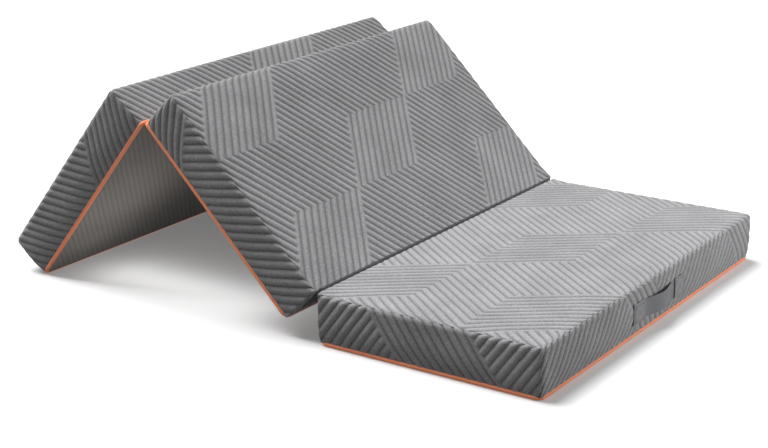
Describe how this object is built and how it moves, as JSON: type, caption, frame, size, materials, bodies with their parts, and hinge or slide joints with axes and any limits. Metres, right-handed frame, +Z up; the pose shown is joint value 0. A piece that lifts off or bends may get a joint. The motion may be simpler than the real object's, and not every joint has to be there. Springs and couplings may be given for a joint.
{
  "type": "folding mattress",
  "caption": "Folding foam mattress with a chevron-ribbed knit cover, piped bottom edges, a carry handle and zippers, standing half folded like a tent.",
  "frame": {"origin": "centre of the front panel's flat underside, on the floor", "axes": "+X along the fold direction from the tent towards the carry handle, Y along the two folds, +Z up"},
  "size_m": [1.7093, 1.212, 0.5782],
  "materials": {
    "ribbed_knit": "matte grey knit with raised chevron ribs",
    "bottom_cloth": "matte grey-brown twill",
    "orange_piping": "matte orange cord piping",
    "seam_binding": "matte dark grey binding",
    "base_foam": "matte off-white polyurethane foam",
    "comfort_foam": "matte pale blue memory foam",
    "strap_webbing": "matte dark grey webbing",
    "zipper_tape": "matte black woven tape with a nylon coil",
    "zipper_metal": "satin grey metal"
  },
  "bodies": {
    "front_panel": {"front_cover": "ribbed_knit", "front_base_foam": "base_foam", "front_comfort_foam": "comfort_foam", "front_bottom_fabric": "bottom_cloth", "front_piping": "orange_piping", "front_zipper_tape": "zipper_tape", "front_fold_gusset_front": "seam_binding", "front_fold_seam": "seam_binding", "handle_strap": "strap_webbing", "handle_patch_left": "strap_webbing", "handle_patch_right": "strap_webbing"},
    "middle_panel": {"middle_cover": "ribbed_knit", "middle_base_foam": "base_foam", "middle_comfort_foam": "comfort_foam", "middle_bottom_fabric": "bottom_cloth", "middle_piping": "orange_piping", "middle_zipper_tape": "zipper_tape", "front_fold_gusset_middle": "seam_binding", "rear_fold_seam": "orange_piping"},
    "rear_panel": {"rear_cover": "ribbed_knit", "rear_base_foam": "base_foam", "rear_comfort_foam": "comfort_foam", "rear_bottom_fabric": "bottom_cloth", "rear_piping": "orange_piping", "rear_zipper_tape": "zipper_tape"},
    "front_slider": {"front_zipper_slider": "zipper_metal"},
    "front_pull": {"front_zipper_pull": "zipper_metal"},
    "middle_slider": {"middle_zipper_slider": "zipper_metal"},
    "middle_pull": {"middle_zipper_pull": "zipper_metal"},
    "rear_slider": {"rear_zipper_slider": "zipper_metal"},
    "rear_pull": {"rear_zipper_pull": "zipper_metal"}
  },
  "joints": [
    {"name": "front_fold", "type": "hinge", "parent": "front_panel", "child": "middle_panel", "pos_m": [-0.31665, 0, 0.1404], "axis": [0, 1, 0], "range_deg": [-45, 135]},
    {"name": "rear_fold", "type": "hinge", "parent": "middle_panel", "child": "rear_panel", "pos_m": [-0.86402, 0, 0.48865], "axis": [0, -1, 0], "range_deg": [-95.77, 84.23]},
    {"name": "front_zipper_slide", "type": "slide", "parent": "front_panel", "child": "front_slider", "axis": [-1, 0, 0], "range_m": [0, 0.461]},
    {"name": "front_zipper_pull_swing", "type": "hinge", "parent": "front_slider", "child": "front_pull", "pos_m": [0.2305, 0.6008, 0.0157], "axis": [0, 0, -1], "range_deg": [0, 180]},
    {"name": "middle_zipper_slide", "type": "slide", "parent": "middle_panel", "child": "middle_slider", "axis": [-0.7071, 0, 0.7071], "range_m": [0, 0.461]},
    {"name": "middle_zipper_pull_swing", "type": "hinge", "parent": "middle_slider", "child": "middle_pull", "pos_m": [-0.46574, 0.6008, 0.11314], "axis": [0.7071, 0, 0.7071], "range_deg": [0, 180]},
    {"name": "rear_zipper_slide", "type": "slide", "parent": "rear_panel", "child": "rear_slider", "axis": [0.6324, 0, 0.7746], "range_m": [0, 0.461]},
    {"name": "rear_zipper_pull_swing", "type": "hinge", "parent": "rear_slider", "child": "rear_pull", "pos_m": [-1.22251, 0.6008, 0.07499], "axis": [0.7746, 0, -0.6324], "range_deg": [0, 180]}
  ]
}
